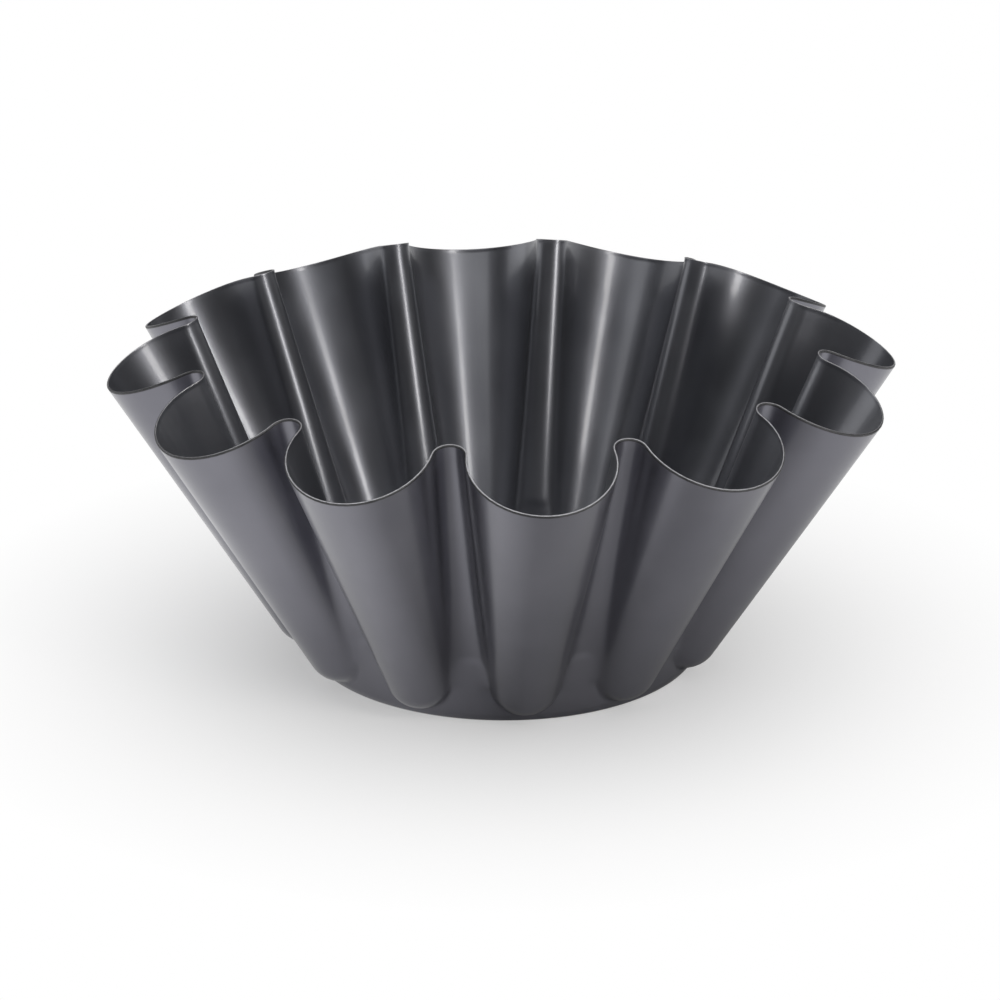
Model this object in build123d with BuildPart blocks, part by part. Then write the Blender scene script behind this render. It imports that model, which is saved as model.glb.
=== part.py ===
from build123d import *
from math import atan2, cos, degrees, hypot, pi, radians, sin, sqrt, tan
import os

# Fluted brioche mould: one disc of thin steel sheet, deep-drawn into twelve round lobes
# round a flat base. Millimetres, +Z up, origin at the centre of the underside.

# Sheet
lobe_count = 12
sheet_thickness = 0.5

# Base: a flat disc with a small sloped corner and a short, nearly upright ring round it
base_radius = 55.7
base_corner = 1.2
ring_top_radius = 58.0
ring_top_height = 20.0

# Lobes: each one is a tapered flute that ends in a ball at its foot. Its axis runs from the
# middle of the foot ball outwards and up past the rim. The flute is drawn with many narrow
# flat sides, which stay within a tenth of a millimetre of round and keep the model light.
foot_ball_radius = 9.8
foot_ball_reach = 55.3
foot_ball_height = 12.5
lobe_mouth_radius = 21.75
lobe_mouth_reach = 98.6
lobe_mouth_height = 104.0
lobe_side_count = 36

# The flute starts inside the foot ball, this far below the ball's middle. Its radius there
# is a share of the ball's, so that the ball closes the flute's end.
foot_lap = 1.2
flute_foot_share = 0.995

# Ribs: where two lobes meet, the sheet turns back inwards in a round rib that touches both.
# The ribs' noses lie on one cone round the axis of the mould. At the height of the base they
# stand this far outside the lobes' axes, and at the ribs' top this far inside them.
rib_foot_step = 1.6
rib_top_step = 5.9
rib_top_height = 100.0
rib_side_count = 6

# Each rib's flanks run into the lobes by this much
rib_lap = 0.1

# Below the middle of the foot balls the ribs run back under the ring, down to this height
# and in to this share of their size
rib_root_height = 3.0
rib_root_share = 0.8

# Rim: the edge of the round blank. The sheet reaches equally far up the ribs and the lobes,
# so the rim is an arc round the foot of the wall, and dips at every lobe.
wall_foot_radius = 57.0
wall_length = 97.3

# Cutting tools run past the surfaces that they cut
overrun = 12.0
overrun_turn = 2

# A rib leaves its lobe somewhere between these turns from the lobe's outermost line
rib_turn_limits = (45, 135)
search_steps = 50

pitch = 360 / lobe_count
half_pitch = radians(pitch / 2)
lobe_foot = Vector(foot_ball_reach, 0, foot_ball_height)
lobe_mouth = Vector(lobe_mouth_reach, 0, lobe_mouth_height)
lobe_axis = lobe_mouth - lobe_foot
flute_foot_radius = foot_ball_radius * flute_foot_share
lobe_slope = (lobe_mouth_radius - flute_foot_radius) / lobe_axis.length
lobe_taper = atan2(lobe_slope, 1)
lobe_lean = atan2(lobe_axis.X, lobe_axis.Z)
rib_foot_radius = lobe_foot.X - lobe_foot.Z * tan(lobe_lean) + rib_foot_step
rib_top_radius = lobe_foot.X + (rib_top_height - lobe_foot.Z) * tan(lobe_lean) - rib_top_step
rib_slope = (rib_top_radius - rib_foot_radius) / rib_top_height


def lobe_ellipse(height, inset):
    """How far out the ellipse lies that a lobe shows at a height, and its two radii."""
    foot_radius = flute_foot_radius - inset / cos(lobe_taper)
    apex = lobe_foot - lobe_axis.normalized() * (foot_radius / lobe_slope)
    outer_reach = apex.X + (height - apex.Z) * tan(lobe_lean + lobe_taper)
    inner_reach = apex.X + (height - apex.Z) * tan(lobe_lean - lobe_taper)
    long_radius = (outer_reach - inner_reach) / 2
    short_share = sqrt(1 - (sin(lobe_lean) / cos(lobe_taper)) ** 2)
    return (outer_reach + inner_reach) / 2, long_radius, long_radius * short_share


def rib_arc(height, inset):
    """Centre distance, radius and half turn of the round rib that touches both lobes."""
    ellipse_reach, long_radius, short_radius = lobe_ellipse(height, inset)
    nose_reach = rib_foot_radius + rib_slope * height - inset * hypot(1, rib_slope)
    across = Vector(-sin(half_pitch), cos(half_pitch))
    low, high = (radians(limit) for limit in rib_turn_limits)
    for _ in range(search_steps):
        turn = (low + high) / 2
        touch = Vector(ellipse_reach + long_radius * cos(turn), short_radius * sin(turn))
        outward = Vector(cos(turn) / long_radius, sin(turn) / short_radius).normalized()
        rib_radius = -touch.dot(across) / outward.dot(across)
        centre_distance = (touch + outward * rib_radius).length
        if centre_distance - rib_radius > nose_reach:
            low = turn
        else:
            high = turn
    return centre_distance, rib_radius, degrees(atan2(outward.Y, outward.X) - half_pitch)


def rib_corners(height, inset, azimuth, first, last):
    """Corners of the rib at an azimuth, counted round it from its flank towards -azimuth."""
    centre_distance, rib_radius, half_turn = rib_arc(height, inset)
    corners = []
    for side in range(first, last + 1):
        turn = half_turn * (1 - 2 * side / rib_side_count)
        corner = Vector(centre_distance, 0) - Vector(rib_radius + rib_lap, 0).rotate(Axis.Z, turn)
        corners.append(corner.rotate(Axis.Z, azimuth))
    return corners


def core_outline(height, inset, whole_ribs):
    """One pitch of the core at a height, with half or the whole of the rib at each end."""
    middle = rib_side_count // 2
    first_rib = (0, rib_side_count) if whole_ribs else (middle, rib_side_count)
    last_rib = (0, rib_side_count) if whole_ribs else (0, middle)
    return (
        [Vector(0, 0)]
        + rib_corners(height, inset, -pitch / 2, *first_rib)
        + [Vector(lobe_ellipse(height, inset)[0], 0)]
        + rib_corners(height, inset, pitch / 2, *last_rib)
    )


def core_form(inset, whole_ribs):
    """The space between the mould's axis and the ribs as a solid, over one pitch."""
    root = [corner * rib_root_share for corner in core_outline(foot_ball_height, inset, whole_ribs)]
    outlines = {
        rib_root_height: root,
        foot_ball_height: core_outline(foot_ball_height, inset, whole_ribs),
        rib_top_height: core_outline(rib_top_height, inset, whole_ribs),
    }
    with BuildPart() as core:
        for height, outline in outlines.items():
            with BuildSketch(Plane.XY.offset(height)):
                with BuildLine():
                    Polyline(*outline, close=True)
                make_face()
        loft(ruled=True)
    return core.part


def flute_ring(along, radius):
    """Corners of the flute's many-sided section at a distance along the lobe's axis."""
    plane = Plane(lobe_foot + lobe_axis.normalized() * along, x_dir=(0, 1, 0), z_dir=lobe_axis)
    corner = Vector(radius, 0)
    turn = 360 / lobe_side_count
    return [plane.from_local_coords(corner.rotate(Axis.Z, turn * side)) for side in range(lobe_side_count)]


def flute_form(inset):
    """The tapered flute as a solid, with a flat face for each of its sides."""
    corner_inset = inset / cos(lobe_taper) / cos(pi / lobe_side_count)
    foot_ring = flute_ring(-foot_lap, flute_foot_radius - lobe_slope * foot_lap - corner_inset)
    mouth_ring = flute_ring(lobe_axis.length, lobe_mouth_radius - corner_inset)
    outlines = [foot_ring, mouth_ring]
    for side in range(lobe_side_count):
        before = side - 1
        outlines.append([foot_ring[before], foot_ring[side], mouth_ring[side], mouth_ring[before]])
    return Solid(Shell([Face(Wire.make_polygon(outline)) for outline in outlines]))


def drawn_pitch(inset, spread):
    """One pitch of the filled mould, every surface moved in by the inset. With a spread,
    its ends run past the pitch."""
    ring_slope = (ring_top_radius - base_radius) / ring_top_height
    ring_inset = inset * hypot(1, ring_slope)
    corner_inset = inset * tan(pi / 8)
    with BuildPart() as form:
        add(core_form(inset, spread > 0))
        add(flute_form(inset))
        split(bisect_by=Plane.XY.offset(rib_top_height), keep=Keep.BOTTOM)
        with Locations(Plane(lobe_foot, x_dir=(0, 1, 0), z_dir=lobe_axis)):
            Sphere(foot_ball_radius - inset)
        with BuildSketch(Plane.XZ.rotated((0, 0, -pitch / 2 - spread))):
            with BuildLine():
                Polyline(
                    (0, inset),
                    (base_radius - base_corner - corner_inset, inset),
                    (base_radius - inset, base_corner + corner_inset),
                    (ring_top_radius - ring_inset, ring_top_height),
                    (0, ring_top_height),
                    close=True,
                )
            make_face()
        revolve(axis=Axis.Z, revolution_arc=pitch + 2 * spread)
    return form.part


def blank_reach_form():
    """All the space that the round blank's edge can reach from the foot of the wall."""
    with BuildPart() as reach:
        with BuildSketch(Plane.XZ):
            with BuildLine():
                Line((0, -overrun), (0, wall_length))
                Line((0, wall_length), (wall_foot_radius, wall_length))
                CenterArc((wall_foot_radius, 0), wall_length, 0, 90)
                Line((wall_foot_radius + wall_length, 0), (wall_foot_radius + wall_length, -overrun))
                Line((wall_foot_radius + wall_length, -overrun), (0, -overrun))
            make_face()
        revolve(axis=Axis.Z)
    return reach.part


with BuildPart() as pitch_sheet:
    add(drawn_pitch(0, 0))
    add(drawn_pitch(sheet_thickness, overrun_turn), mode=Mode.SUBTRACT)
    add(blank_reach_form(), mode=Mode.INTERSECT)

with BuildPart() as mould_body:
    with PolarLocations(0, lobe_count):
        add(pitch_sheet.part)
mould_body.part.label = "mould_body"

os.makedirs("parts", exist_ok=True)
export_step(mould_body.part, "parts/mould_body.step")
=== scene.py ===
from math import asin, atan2, cos, hypot, pi, radians, sin, tan

import bpy
import numpy as np
from mathutils import Matrix, Vector


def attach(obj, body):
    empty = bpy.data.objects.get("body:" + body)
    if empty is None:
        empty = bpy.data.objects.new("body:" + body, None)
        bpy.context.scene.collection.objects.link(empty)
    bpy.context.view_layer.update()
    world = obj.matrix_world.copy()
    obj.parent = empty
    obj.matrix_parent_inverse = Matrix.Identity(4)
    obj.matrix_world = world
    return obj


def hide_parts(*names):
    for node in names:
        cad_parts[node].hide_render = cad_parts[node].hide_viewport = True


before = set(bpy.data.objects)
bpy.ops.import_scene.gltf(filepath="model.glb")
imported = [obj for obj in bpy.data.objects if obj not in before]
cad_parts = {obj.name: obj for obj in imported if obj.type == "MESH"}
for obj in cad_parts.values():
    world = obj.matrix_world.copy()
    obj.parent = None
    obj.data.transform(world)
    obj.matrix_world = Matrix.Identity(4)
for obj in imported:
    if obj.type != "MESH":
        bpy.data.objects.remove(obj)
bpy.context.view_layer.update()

# The sheet and the camera are worked out in millimetres, and all the rest in metres
MM = 0.001

# The mould's driving sizes, as in the part's source. The lobes' two radii are up to 0.15 mm
# smaller, so that they stay inside the flat sides that the lobes have there, and the base's
# corner is a round instead of a small slope. The two rib radii are what the source's steps
# from the lobes' axes come to, at height 0 and at the ribs' top.
LOBE_COUNT = 12
SHEET_THICKNESS = 0.5
BASE_RADIUS = 55.7
BASE_CORNER_RADIUS = 2.0
RING_TOP_RADIUS = 58.0
RING_TOP_HEIGHT = 20.0
FOOT_BALL_RADIUS = 9.7
FOOT_BALL_REACH = 55.3
FOOT_BALL_HEIGHT = 12.5
LOBE_MOUTH_RADIUS = 21.6
LOBE_MOUTH_REACH = 98.6
LOBE_MOUTH_HEIGHT = 104.0
RIB_FOOT_RADIUS = 51.0
RIB_TOP_RADIUS = 90.8
RIB_TOP_HEIGHT = 100.0
WALL_FOOT_RADIUS = 57.0
WALL_LENGTH = 97.3

# How finely the sheet is drawn: columns in half a lobe and half a rib, rows by zone
LOBE_COLUMNS = 14
RIB_COLUMNS = 8
CORNER_ROWS = 6
FOOT_ROWS = 34
WALL_ROWS = 44
OUTER_EDGE_ROWS = 6
INNER_EDGE_ROWS = 3

# The soft crossings at the foot, where lobes and ribs run into the ring: their width on the
# lobes and in the valleys, where a valley starts and is full as shares of half a pitch, the
# heights between which the crossings fade out, and the least width that can be divided by
FOOT_BLEND = 2.2
VALLEY_BLEND = 3.2
VALLEY_SHARES = (0.4, 0.85)
BLEND_FADE_HEIGHT = 18.0
BLEND_TOP_HEIGHT = 24.0
LEAST_BLEND = 1e-6

# The fluted wall's level sections take over from the foot balls over this height below the
# balls' middle
SECTION_BLEND = 4.5

# The cut edge: rolled over on the outside, with a slight burr on the inside. A band of painted
# shade, a dark line under the edge, starts this far below the outer rounding and takes in all
# of it but its last row.
OUTER_ROUNDING = 0.34
INNER_ROUNDING = 0.12
BURR = 0.12
SHADE_BAND_REACH = 0.3

# At the tops of the ribs a narrow land below the edge stands a little steeper than the wall.
# It starts at the last column of the lobe and is full this many columns on. Three more rows,
# at these shares of the wall's height, draw where it starts.
LAND_HEIGHT = 2.9
LAND_DRAW = 0.2
LAND_COLUMNS = 3
LAND_ROW_SHARES = (0.962, 0.97, 0.98)

# Where the searches look: turns round a lobe's ellipse for the place where the rib leaves it,
# reaches from the mould's axis for the outside of a foot ball, and heights for the rim
RIB_TURN_RANGE = (radians(40), radians(150))
FOOT_REACH_RANGE = (49.7, 90.0)
RIM_HEIGHT_RANGE = (60.0, 100.0)
SEARCH_STEPS = 50

# The finishes of the mesh's faces, in the order of its materials. The last is a band of painted
# shade under the edge.
OUTSIDE, INSIDE, EDGE, PAINTED_SHADE = range(4)

# Coating, sizes in metres: faint clouds of colour, spray grain, the soft waves of drawn
# sheet, and patches that are rubbed a little paler
CLOUD_SIZE = 0.045
GRAIN_SIZE = 0.0006
GRAIN_DEPTH = 0.000004
WAVE_SIZE = 0.02
WAVE_DEPTH = 0.0002
PATCH_SIZE = 0.018
RUBBED_GAIN = 1.12
COATING_METALLIC = 0.85
ROUGHNESS_SPAN = 0.04
COAT_ROUGHNESS = 0.14

# Ramps, each as its two incoming values and the two that they become. Noise keeps mostly
# within its spread.
NOISE_SPREAD = (0.3, 0.7)
CLOUD_RAMP = ((0.35, 0.65), (0, 1))
RUB_RAMP = ((0.5, 0.8), (0, 0.3))
MARK_RAMP = ((0.4, 0.7), (0, 1))

# Floor, in metres. It lies just below the base, so that the two faces don't fight.
FLOOR_REACH = 6.0
FLOOR_DROP = 0.0001
FLOOR_COLOUR = (0.88, 0.88, 0.885)
FLOOR_ROUGHNESS = 0.9
FLOOR_SPECULAR = 0.1

# White in the floor that the camera sees, by the distance from the mould's axis
SEEN_RAMP = ((0.06, 0.17), (0.4, 1))

# Glow of the floor that the sheet mirrors, by the same distance. It is lit from the left and
# bright there up to the base, shaded near the mould elsewhere, and dimmer in front. The turns
# are cosines of the angle to a heading.
LIT_RAMP = ((0.055, 0.11), (0.40, 1.0))
SHADED_RAMP = ((0.055, 0.17), (0.12, 0.92))
DIMMING_RAMP = ((0.10, 0.16), (0, 0.45))
LIT_HEADING = (-0.999, 0.035, 0)
LIT_TURN_RAMP = ((0.05, 0.6), (0, 1))
FRONT_HEADING = (-0.02, -1.0, 0)
FRONT_TURN_RAMP = ((0.8, 1.0), (0, 1))

# World: pale at the horizon and nearly black overhead, by the height of the direction
SKY_RAMP = ((0.0, 0.30), (0.9, 0.02))
SKY_STRENGTH = 0.6

# Camera: the photograph's viewing angle, fitted to the rim and the base. Lengths are in
# millimetres, and the focal length is a multiple of the sensor's width.
TURN = radians(-6.08)
ELEVATION = radians(21.41)
ROLL = radians(0.18)
DISTANCE = 1182.6
AIM_HEIGHT = 43.36
AIM_SIDE = -1.01
SENSOR_WIDTH = 36.0
FOCAL_SHARE = 4.2087

# The point that the lamps face, in metres, and the colour of the warmer one
LAMP_AIM = Vector((0, 0, 0.05))
WARM_WHITE = (1.0, 0.975, 0.935)

HALF_PITCH = pi / LOBE_COUNT
foot = np.array([FOOT_BALL_REACH, 0.0, FOOT_BALL_HEIGHT])
mouth = np.array([LOBE_MOUTH_REACH, 0.0, LOBE_MOUTH_HEIGHT])
axis_length = np.linalg.norm(mouth - foot)
axis = (mouth - foot) / axis_length
taper = asin((LOBE_MOUTH_RADIUS - FOOT_BALL_RADIUS) / axis_length)
lean = atan2(axis[0], axis[2])
apex = foot - axis * FOOT_BALL_RADIUS / sin(taper)
rib_slope = (RIB_TOP_RADIUS - RIB_FOOT_RADIUS) / RIB_TOP_HEIGHT
ring_slope = (RING_TOP_RADIUS - BASE_RADIUS) / RING_TOP_HEIGHT
across_rib = np.array([-sin(HALF_PITCH), cos(HALF_PITCH)])


def crossing(holds, low, high):
    """The value between two others up to which a test holds, found by halving the range."""
    for _ in range(SEARCH_STEPS):
        middle = (low + high) / 2
        held = holds(middle)
        low = np.where(held, middle, low)
        high = np.where(held, high, middle)
    return low


def smooth_step(value, start, end):
    """0 up to the start, 1 from the end on, and a soft rise between them."""
    share = np.clip((value - start) / (end - start), 0, 1)
    return share * share * (3 - 2 * share)


def smooth_max(a, b, width):
    """The larger of two values, rounded where they cross."""
    gap = np.clip(0.5 + 0.5 * (a - b) / width, 0, 1)
    return b + (a - b) * gap + width * gap * (1 - gap)


def level_ellipse(height):
    """Centre reach, long and short radius of the ellipse that a lobe shows at a height."""
    rise = height - apex[2]
    outer = apex[0] + rise * tan(lean + taper)
    inner = apex[0] + rise * tan(lean - taper)
    long_radius = (outer - inner) / 2
    short_share = (1 - (sin(lean) / cos(taper)) ** 2) ** 0.5
    return (outer + inner) / 2, long_radius, long_radius * short_share


def touching_rib(turn, centre, long_radius, short_radius):
    """The round rib that touches a lobe's ellipse at a turn, and the next lobe's in the same way:
    its centre distance, its radius, and the heading in which it stands off the ellipse."""
    touch = np.array([centre + long_radius * cos(turn), short_radius * sin(turn)])
    outward = np.array([cos(turn) / long_radius, sin(turn) / short_radius])
    outward /= np.linalg.norm(outward)
    radius = -touch.dot(across_rib) / outward.dot(across_rib)
    distance = np.linalg.norm(touch + outward * radius)
    return distance, radius, atan2(outward[1], outward[0])


def level_section(height):
    """Points of half a pitch of the fluted wall at a height, from a lobe's middle to a rib's."""
    ellipse = level_ellipse(height)
    centre, long_radius, short_radius = ellipse

    def beyond_nose(turn):
        distance, radius, _ = touching_rib(turn, *ellipse)
        return distance - radius > RIB_FOOT_RADIUS + rib_slope * height

    turn = crossing(beyond_nose, *RIB_TURN_RANGE)
    distance, radius, normal_turn = touching_rib(turn, *ellipse)
    lobe_turns = turn * np.linspace(0, 1, LOBE_COLUMNS + 1)
    lobe = np.stack([centre + long_radius * np.cos(lobe_turns), short_radius * np.sin(lobe_turns)], 1)
    nose_turns = normal_turn + (HALF_PITCH - normal_turn) * np.linspace(0, 1, RIB_COLUMNS + 1)[1:]
    nose_centre = distance * np.array([cos(HALF_PITCH), sin(HALF_PITCH)])
    nose = nose_centre - radius * np.stack([np.cos(nose_turns), np.sin(nose_turns)], 1)
    return np.vstack([lobe, nose])


def section_reach(azimuths, height):
    """How far out the fluted wall's level section reaches at each azimuth."""
    section = level_section(height)
    turns = np.arctan2(section[:, 1], section[:, 0])
    return np.interp(azimuths, turns, np.hypot(section[:, 0], section[:, 1]))


def lobe_distance(points):
    """Signed distance to one lobe: a ball that runs on into a cone."""
    offset = points - foot
    along = offset @ axis
    side = np.sqrt(np.maximum((offset ** 2).sum(-1) - along ** 2, 0))
    on_ball = np.hypot(along, side) - FOOT_BALL_RADIUS
    on_cone = side * cos(taper) - along * sin(taper) - FOOT_BALL_RADIUS
    return np.where(along * cos(taper) + side * sin(taper) < 0, on_ball, on_cone)


def lobe_reach(azimuths, height):
    """How far out one lobe reaches at each azimuth, or the start of the search if it doesn't."""
    headings = np.stack([np.cos(azimuths), np.sin(azimuths), np.zeros(len(azimuths))], 1)
    lift = np.array([0, 0, height])

    def inside_lobe(reach):
        return lobe_distance(headings * reach[:, None] + lift) < 0

    low, high = (np.full(len(azimuths), reach) for reach in FOOT_REACH_RANGE)
    return crossing(inside_lobe, low, high)


def ring_reach(height):
    """Radius of the base ring at a height, with its rounded corner."""
    dip = np.clip(1 - height / BASE_CORNER_RADIUS, 0, 1)
    return BASE_RADIUS + ring_slope * height - BASE_CORNER_RADIUS * (1 - np.sqrt(1 - dip ** 2))


def foot_section(azimuths, height):
    """Reach of the outer surface at each azimuth at the foot, where lobes, ribs and ring meet."""
    start = FOOT_BALL_HEIGHT - SECTION_BLEND
    share = smooth_step(height, start, FOOT_BALL_HEIGHT)
    low_part = np.maximum(lobe_reach(azimuths, height), RIB_FOOT_RADIUS + rib_slope * height)
    fluted = low_part * (1 - share) + section_reach(azimuths, max(height, start)) * share
    in_valley = smooth_step(azimuths / HALF_PITCH, *VALLEY_SHARES)
    width = FOOT_BLEND + (VALLEY_BLEND - FOOT_BLEND) * in_valley
    width = width * (1 - smooth_step(height, BLEND_FADE_HEIGHT, BLEND_TOP_HEIGHT))
    return smooth_max(fluted, ring_reach(height), np.maximum(width, LEAST_BLEND))


def level_row(azimuths, reach, height):
    """Points at one height, at a reach from the mould's axis in each azimuth."""
    return np.stack([reach * np.cos(azimuths), reach * np.sin(azimuths), np.full(len(azimuths), height)], 1)


def rim_height(column):
    """Height at which a column of the wall meets the blank's edge, an arc round the wall's foot."""
    def within_blank(height):
        reach = hypot(*level_section(height)[column])
        return hypot(reach - WALL_FOOT_RADIUS, height) < WALL_LENGTH

    return crossing(within_blank, *RIM_HEIGHT_RANGE)


def wall_row(rims, share):
    """Points of the wall at a share of the way from the foot's top up to each column's rim."""
    heights = BLEND_TOP_HEIGHT + (rims - BLEND_TOP_HEIGHT) * share
    row = np.array([[*level_section(height)[column], height] for column, height in enumerate(heights)])
    on_rib = smooth_step(np.arange(len(rims)), LOBE_COLUMNS, LOBE_COLUMNS + LAND_COLUMNS)
    rise = np.maximum(heights - rims + LAND_HEIGHT, 0) / LAND_HEIGHT
    row[:, :2] *= (1 - on_rib * LAND_DRAW * rise / np.hypot(row[:, 0], row[:, 1]))[:, None]
    return row


def half_pitch_rows():
    """Rows of points from the base corner up to the rim, over half a pitch of the outer surface."""
    start = level_section(BLEND_TOP_HEIGHT)
    azimuths = np.arctan2(start[:, 1], start[:, 0])
    rows = []
    for turn in pi / 2 * np.arange(CORNER_ROWS) / CORNER_ROWS:
        reach = BASE_RADIUS - BASE_CORNER_RADIUS * (1 - sin(turn))
        rows.append(level_row(azimuths, reach, BASE_CORNER_RADIUS * (1 - cos(turn))))
    for height in np.linspace(BASE_CORNER_RADIUS, BLEND_TOP_HEIGHT, FOOT_ROWS):
        rows.append(level_row(azimuths, foot_section(azimuths, height), height))
    rims = np.array([rim_height(column) for column in range(len(azimuths))])
    # Where the band of painted shade under the edge starts
    shade_band_share = 1 - (OUTER_ROUNDING + SHADE_BAND_REACH) / (WALL_LENGTH - BLEND_TOP_HEIGHT)
    even_shares = np.linspace(0, 1, WALL_ROWS + 1)[1:]
    for share in sorted([*even_shares, *LAND_ROW_SHARES, shade_band_share]):
        rows.append(wall_row(rims, share))
    return np.array(rows)


def full_rows(half):
    """Mirrors half a pitch to a whole one and turns it round the mould. The result wraps round."""
    mirrored = half[:, ::-1] * np.array([1, -1, 1])
    pitch = np.concatenate([mirrored[:, :-1], half[:, :-1]], 1)
    turned = []
    for index in range(LOBE_COUNT):
        angle = index * 2 * HALF_PITCH
        turn = np.array([[cos(angle), sin(angle), 0], [-sin(angle), cos(angle), 0], [0, 0, 1]])
        turned.append(pitch @ turn)
    return np.concatenate(turned, 1)


def surface_normals(rows):
    """Unit normals of a grid that wraps round along its second index, pointing out of the mould."""
    around = np.roll(rows, -1, 1) - np.roll(rows, 1, 1)
    up = np.empty_like(rows)
    up[1:-1] = rows[2:] - rows[:-2]
    up[0] = rows[1] - rows[0]
    up[-1] = rows[-1] - rows[-2]
    normals = np.cross(around, up)
    return normals / np.linalg.norm(normals, axis=2, keepdims=True)


def round_edge(outer, inner, across):
    """Rows over the cut edge, from the outer face to the inner one. The direction across points
    out of the mould. The top rows of both faces come down to where the edge's roundings start."""
    up = outer[-1] - outer[-2]
    up /= np.linalg.norm(up, axis=1, keepdims=True)
    outer[-1] -= up * OUTER_ROUNDING
    inner[-1] -= up * INNER_ROUNDING
    edge = []
    for turn in pi / 2 * np.arange(1, OUTER_EDGE_ROWS + 1) / OUTER_EDGE_ROWS:
        edge.append(outer[-1] + (up * sin(turn) - across * (1 - cos(turn))) * OUTER_ROUNDING)
    for turn in pi / 2 * (1 - np.arange(INNER_EDGE_ROWS) / INNER_EDGE_ROWS):
        edge.append(inner[-1] + (up * sin(turn) + across * (1 - cos(turn))) * INNER_ROUNDING)
    return np.array(edge)


def mould_mesh():
    """The whole sheet as one closed mesh: vertices in metres, faces, and the finish of each face."""
    outer = full_rows(half_pitch_rows())
    normals = surface_normals(outer)
    normals[0] = (0, 0, -1)
    inner = outer - normals * SHEET_THICKNESS
    inner[-1] -= normals[-1] * BURR
    edge = round_edge(outer, inner, normals[-1])
    rows = np.concatenate([outer, edge, inner[::-1]], 0)
    # The band of painted shade takes the outer face's top row and all of the outer rounding but its last
    # row
    row_finishes = (
        [OUTSIDE] * (len(outer) - 2)
        + [PAINTED_SHADE] * OUTER_EDGE_ROWS
        + [EDGE] * (INNER_EDGE_ROWS + 2)
        + [INSIDE] * (len(inner) - 1)
    )
    count = rows.shape[1]
    vertices = rows.reshape(-1, 3).tolist()
    faces, finishes = [], []

    def sides(row):
        return [(row * count + column, row * count + (column + 1) % count) for column in range(count)]

    for row, finish in enumerate(row_finishes):
        faces += [(a, b, b + count, a + count) for a, b in sides(row)]
        finishes += [finish] * count
    # Each side of the base is a fan from its middle to the nearest row
    for row, height, finish in ((0, 0.0, OUTSIDE), (len(rows) - 1, SHEET_THICKNESS, INSIDE)):
        middle = len(vertices)
        vertices.append((0.0, 0.0, height))
        faces += [(b, a, middle) if finish == OUTSIDE else (a, b, middle) for a, b in sides(row)]
        finishes += [finish] * count
    return (np.array(vertices) * MM).tolist(), faces, finishes


def add_object(name, data):
    """A new object in the scene."""
    item = bpy.data.objects.new(name, data)
    bpy.context.scene.collection.objects.link(item)
    return item


def add_node(tree, kind, links=None, values=None, **settings):
    """A new node's outputs, with its settings, its inputs' fixed values and links to others."""
    node = tree.nodes.new(kind)
    for name, setting in settings.items():
        setattr(node, name, setting)
    for socket, value in (values or {}).items():
        node.inputs[socket].default_value = value
    for socket, output in (links or {}).items():
        tree.links.new(output, node.inputs[socket])
    return node.outputs


def new_material(name):
    """A new material, its node tree, its shader and the object's coordinates."""
    material = bpy.data.materials.new(name)
    material.use_nodes = True
    tree = material.node_tree
    return material, tree, tree.nodes["Principled BSDF"], add_node(tree, "ShaderNodeTexCoord")["Object"]


def noise(tree, coords, size, detail, roughness=0.5):
    """Noise with features of about that size in metres."""
    values = {"Scale": 1 / size, "Detail": detail, "Roughness": roughness}
    return add_node(tree, "ShaderNodeTexNoise", {"Vector": coords}, values)["Fac"]


def ramp(tree, value, incoming, outgoing):
    """Takes two incoming values to two outgoing ones in a straight line, level beyond them."""
    values = dict(zip(("From Min", "From Max", "To Min", "To Max"), (*incoming, *outgoing)))
    return add_node(tree, "ShaderNodeMapRange", {"Value": value}, values)["Result"]


def arithmetic(tree, operation, first, second):
    """One step of arithmetic on two values."""
    return add_node(tree, "ShaderNodeMath", {0: first, 1: second}, operation=operation)[0]


def vector_step(tree, operation, output, first, second=(0, 0, 0)):
    """One vector operation on a node's output and a fixed vector."""
    return add_node(tree, "ShaderNodeVectorMath", {0: first}, {1: second}, operation=operation)[output]


# A Mix node has its sockets A and B once for each kind of data, so they go by their numbers:
# 2 and 3 for values, 6 and 7 for colours
def mix_values(tree, share, first, second):
    """A value between two others."""
    return add_node(tree, "ShaderNodeMix", {"Factor": share, 2: first, 3: second})[0]


def mix_colours(tree, share, first, second):
    """A colour between two others. The second is fixed, and so is the first if it's a tuple."""
    links, values = {"Factor": share}, {7: (*second, 1)}
    if isinstance(first, tuple):
        values[6] = (*first, 1)
    else:
        links[6] = first
    return add_node(tree, "ShaderNodeMix", links, values, data_type="RGBA")[2]


def mix_shaders(tree, share, first, second):
    """A surface between two others."""
    return add_node(tree, "ShaderNodeMixShader", {0: share, 1: first, 2: second})[0]


def bump(tree, height, depth, normal=None):
    """A normal tilted by a height that reaches that many metres, on top of another normal."""
    links = {"Height": height, "Normal": normal} if normal else {"Height": height}
    return add_node(tree, "ShaderNodeBump", links, {"Strength": 1.0, "Distance": depth})["Normal"]


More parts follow.
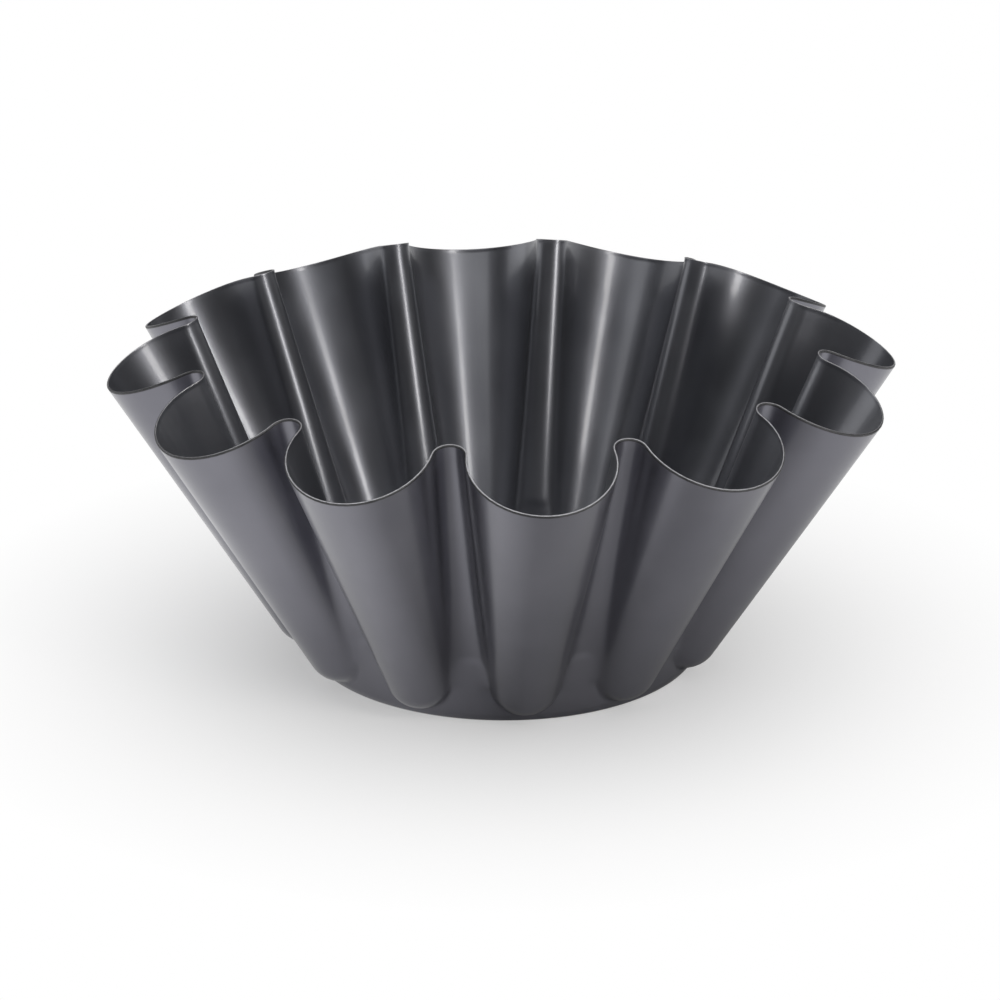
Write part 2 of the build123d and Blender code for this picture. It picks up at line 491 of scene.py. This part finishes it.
def coating(name, dark, light, roughness, coat):
    """Baked-on non-stick coating: faint cloudy colour, fine spray grain and a few rubbed places."""
    material, tree, shader, coords = new_material(name)
    clouds = noise(tree, coords, CLOUD_SIZE, detail=3)
    grain = noise(tree, coords, GRAIN_SIZE, detail=2, roughness=0.6)
    waves = noise(tree, coords, WAVE_SIZE, detail=1)
    patches = noise(tree, coords, PATCH_SIZE, detail=3)
    colour = mix_colours(tree, ramp(tree, clouds, *CLOUD_RAMP), dark, light)
    rubbed = tuple(channel * RUBBED_GAIN for channel in light)
    colour = mix_colours(tree, ramp(tree, patches, *RUB_RAMP), colour, rubbed)
    rough = ramp(tree, patches, NOISE_SPREAD, (roughness - ROUGHNESS_SPAN, roughness + ROUGHNESS_SPAN))
    tree.links.new(colour, shader.inputs["Base Color"])
    tree.links.new(rough, shader.inputs["Roughness"])
    tree.links.new(bump(tree, grain, GRAIN_DEPTH, bump(tree, waves, WAVE_DEPTH)), shader.inputs["Normal"])
    shader.inputs["Metallic"].default_value = COATING_METALLIC
    shader.inputs["Coat Weight"].default_value = coat
    shader.inputs["Coat Roughness"].default_value = COAT_ROUGHNESS
    return material


def marked_steel_and_shade(name, mark_size, clean, marked, metallic, roughness_range):
    """Steel without the coating, whose colour and roughness change along its marks. It also draws
    the band of painted shade under the edge.
    """
    material, tree, shader, coords = new_material(name)
    marks = noise(tree, coords, mark_size, detail=4, roughness=0.65)
    colour = mix_colours(tree, ramp(tree, marks, *MARK_RAMP), clean, marked)
    tree.links.new(colour, shader.inputs["Base Color"])
    tree.links.new(ramp(tree, marks, NOISE_SPREAD, roughness_range), shader.inputs["Roughness"])
    shader.inputs["Metallic"].default_value = metallic
    return material


def mirrored_glow(tree, away, heading):
    """Strength of the glow that the sheet mirrors as the floor."""
    to_front = vector_step(tree, "DOT_PRODUCT", "Value", heading, FRONT_HEADING)
    to_light = vector_step(tree, "DOT_PRODUCT", "Value", heading, LIT_HEADING)
    in_front = ramp(tree, to_front, *FRONT_TURN_RAMP)
    dimming = arithmetic(tree, "MULTIPLY", in_front, ramp(tree, away, *DIMMING_RAMP))
    shaded = arithmetic(tree, "SUBTRACT", ramp(tree, away, *SHADED_RAMP), dimming)
    return mix_values(tree, ramp(tree, to_light, *LIT_TURN_RAMP), shaded, ramp(tree, away, *LIT_RAMP))


def floor_finish():
    """Pale matt floor. The camera sees it as white away from the mould's soft shadow, and the
    sheet mirrors a glow in its place."""
    material, tree, shader, coords = new_material("floor")
    shader.inputs["Base Color"].default_value = (*FLOOR_COLOUR, 1)
    shader.inputs["Roughness"].default_value = FLOOR_ROUGHNESS
    shader.inputs["Specular IOR Level"].default_value = FLOOR_SPECULAR
    rays = add_node(tree, "ShaderNodeLightPath")
    away = vector_step(tree, "LENGTH", "Value", coords)
    heading = vector_step(tree, "NORMALIZE", "Vector", coords)
    seen = arithmetic(tree, "MULTIPLY", rays["Is Camera Ray"], ramp(tree, away, *SEEN_RAMP))
    white = add_node(tree, "ShaderNodeEmission")["Emission"]
    seen_floor = mix_shaders(tree, seen, shader.outputs["BSDF"], white)
    strength = mirrored_glow(tree, away, heading)
    mirrored = add_node(tree, "ShaderNodeEmission", {"Strength": strength})["Emission"]
    surface = mix_shaders(tree, rays["Is Glossy Ray"], seen_floor, mirrored)
    tree.links.new(surface, tree.nodes["Material Output"].inputs["Surface"])
    return material


def photograph_camera():
    """The camera, aimed with a slight roll and then turned round the mould's axis."""
    right = Vector((1, 0, 0))
    forward = Vector((0, cos(ELEVATION), -sin(ELEVATION)))
    up = right.cross(forward)
    rolled_right = right * cos(ROLL) + up * sin(ROLL)
    rolled_up = up * cos(ROLL) - right * sin(ROLL)
    pose = Matrix((rolled_right, rolled_up, -forward)).transposed().to_4x4()
    height = AIM_HEIGHT + DISTANCE * sin(ELEVATION)
    pose.translation = Vector((AIM_SIDE, -DISTANCE * cos(ELEVATION), height)) * MM
    data = bpy.data.cameras.new("camera")
    data.sensor_width = SENSOR_WIDTH
    data.lens = SENSOR_WIDTH * FOCAL_SHARE
    camera = add_object("camera", data)
    camera.matrix_world = Matrix.Rotation(TURN, 4, "Z") @ pose
    return camera


def lamp(name, azimuth, elevation, distance, size, power, colour=(1, 1, 1)):
    """A softbox that faces the mould, from an azimuth counted like the views: 0 at -Y, 90 at +X."""
    light = bpy.data.lights.new(name, "AREA")
    light.shape = "RECTANGLE"
    light.size, light.size_y = size
    light.energy = power
    light.color = colour
    turn, lift = radians(azimuth), radians(elevation)
    away = Vector((sin(turn) * cos(lift), -cos(turn) * cos(lift), sin(lift))) * distance
    holder = add_object(name, light)
    holder.location = LAMP_AIM + away
    holder.rotation_euler = away.to_track_quat("Z", "Y").to_euler()


# The mould, and its finishes in the order of their numbers: the coating on both faces, the
# blanked edge with its drag marks, and a band of painted shade under it, a dark line that
# stands in for the shade under the rolled edge
mesh = bpy.data.meshes.new("mould_sheet")
vertices, faces, finishes = mould_mesh()
mesh.from_pydata(vertices, [], faces)
mesh.polygons.foreach_set("use_smooth", [True] * len(faces))
mesh.polygons.foreach_set("material_index", finishes)
mesh.update()
# Both faces carry the same coating. The inside copy's darker colours and the outside copy's lighter ones
# are painted shade and light, standing in for how differently the two faces are lit.
mesh.materials.append(coating(
    "coating_outside", dark=(0.182, 0.182, 0.211), light=(0.212, 0.211, 0.241), roughness=0.32, coat=0.4))
mesh.materials.append(coating(
    "coating_inside", dark=(0.134, 0.138, 0.155), light=(0.162, 0.166, 0.184), roughness=0.37, coat=0.5))
mesh.materials.append(marked_steel_and_shade(
    "bare_steel_edge", mark_size=0.0012, clean=(0.36, 0.36, 0.375), marked=(0.24, 0.24, 0.25),
    metallic=1.0, roughness_range=(0.30, 0.45)))
# Painted shade: a dark, dull band under the rolled edge
mesh.materials.append(marked_steel_and_shade(
    "painted_shade_band", mark_size=0.004, clean=(0.025, 0.025, 0.028), marked=(0.06, 0.06, 0.064),
    metallic=0.0, roughness_range=(0.42, 0.55)))
mould = add_object("mould_sheet", mesh)
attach(mould, "root")
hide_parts("mould_body")

# Floor
corners = [(-1, -1), (1, -1), (1, 1), (-1, 1)]
floor_mesh = bpy.data.meshes.new("floor")
floor_mesh.from_pydata([(x * FLOOR_REACH, y * FLOOR_REACH, 0) for x, y in corners], [], [(0, 1, 2, 3)])
floor_mesh.materials.append(floor_finish())
floor = add_object("floor", floor_mesh)
floor.location = (0, 0, -FLOOR_DROP)

# Camera and lamps
bpy.context.scene.camera = photograph_camera()
lamp("strip", azimuth=37, elevation=22, distance=1.6, size=(0.32, 1.2), power=11.5, colour=WARM_WHITE)
lamp("left", azimuth=-108, elevation=16, distance=1.8, size=(1.2, 1.2), power=5)
lamp("top", azimuth=0, elevation=86, distance=1.5, size=(2.4, 2.4), power=27)
lamp("back", azimuth=165, elevation=35, distance=1.8, size=(1.2, 1.2), power=4)

# World
world = bpy.data.worlds.new("world")
bpy.context.scene.world = world
world.use_nodes = True
sky = world.node_tree
background = sky.nodes["Background"]
rise = add_node(sky, "ShaderNodeSeparateXYZ", {0: add_node(sky, "ShaderNodeTexCoord")["Generated"]})["Z"]
sky.links.new(ramp(sky, rise, *SKY_RAMP), background.inputs["Color"])
background.inputs["Strength"].default_value = SKY_STRENGTH

bpy.context.scene.view_settings.view_transform = "Standard"
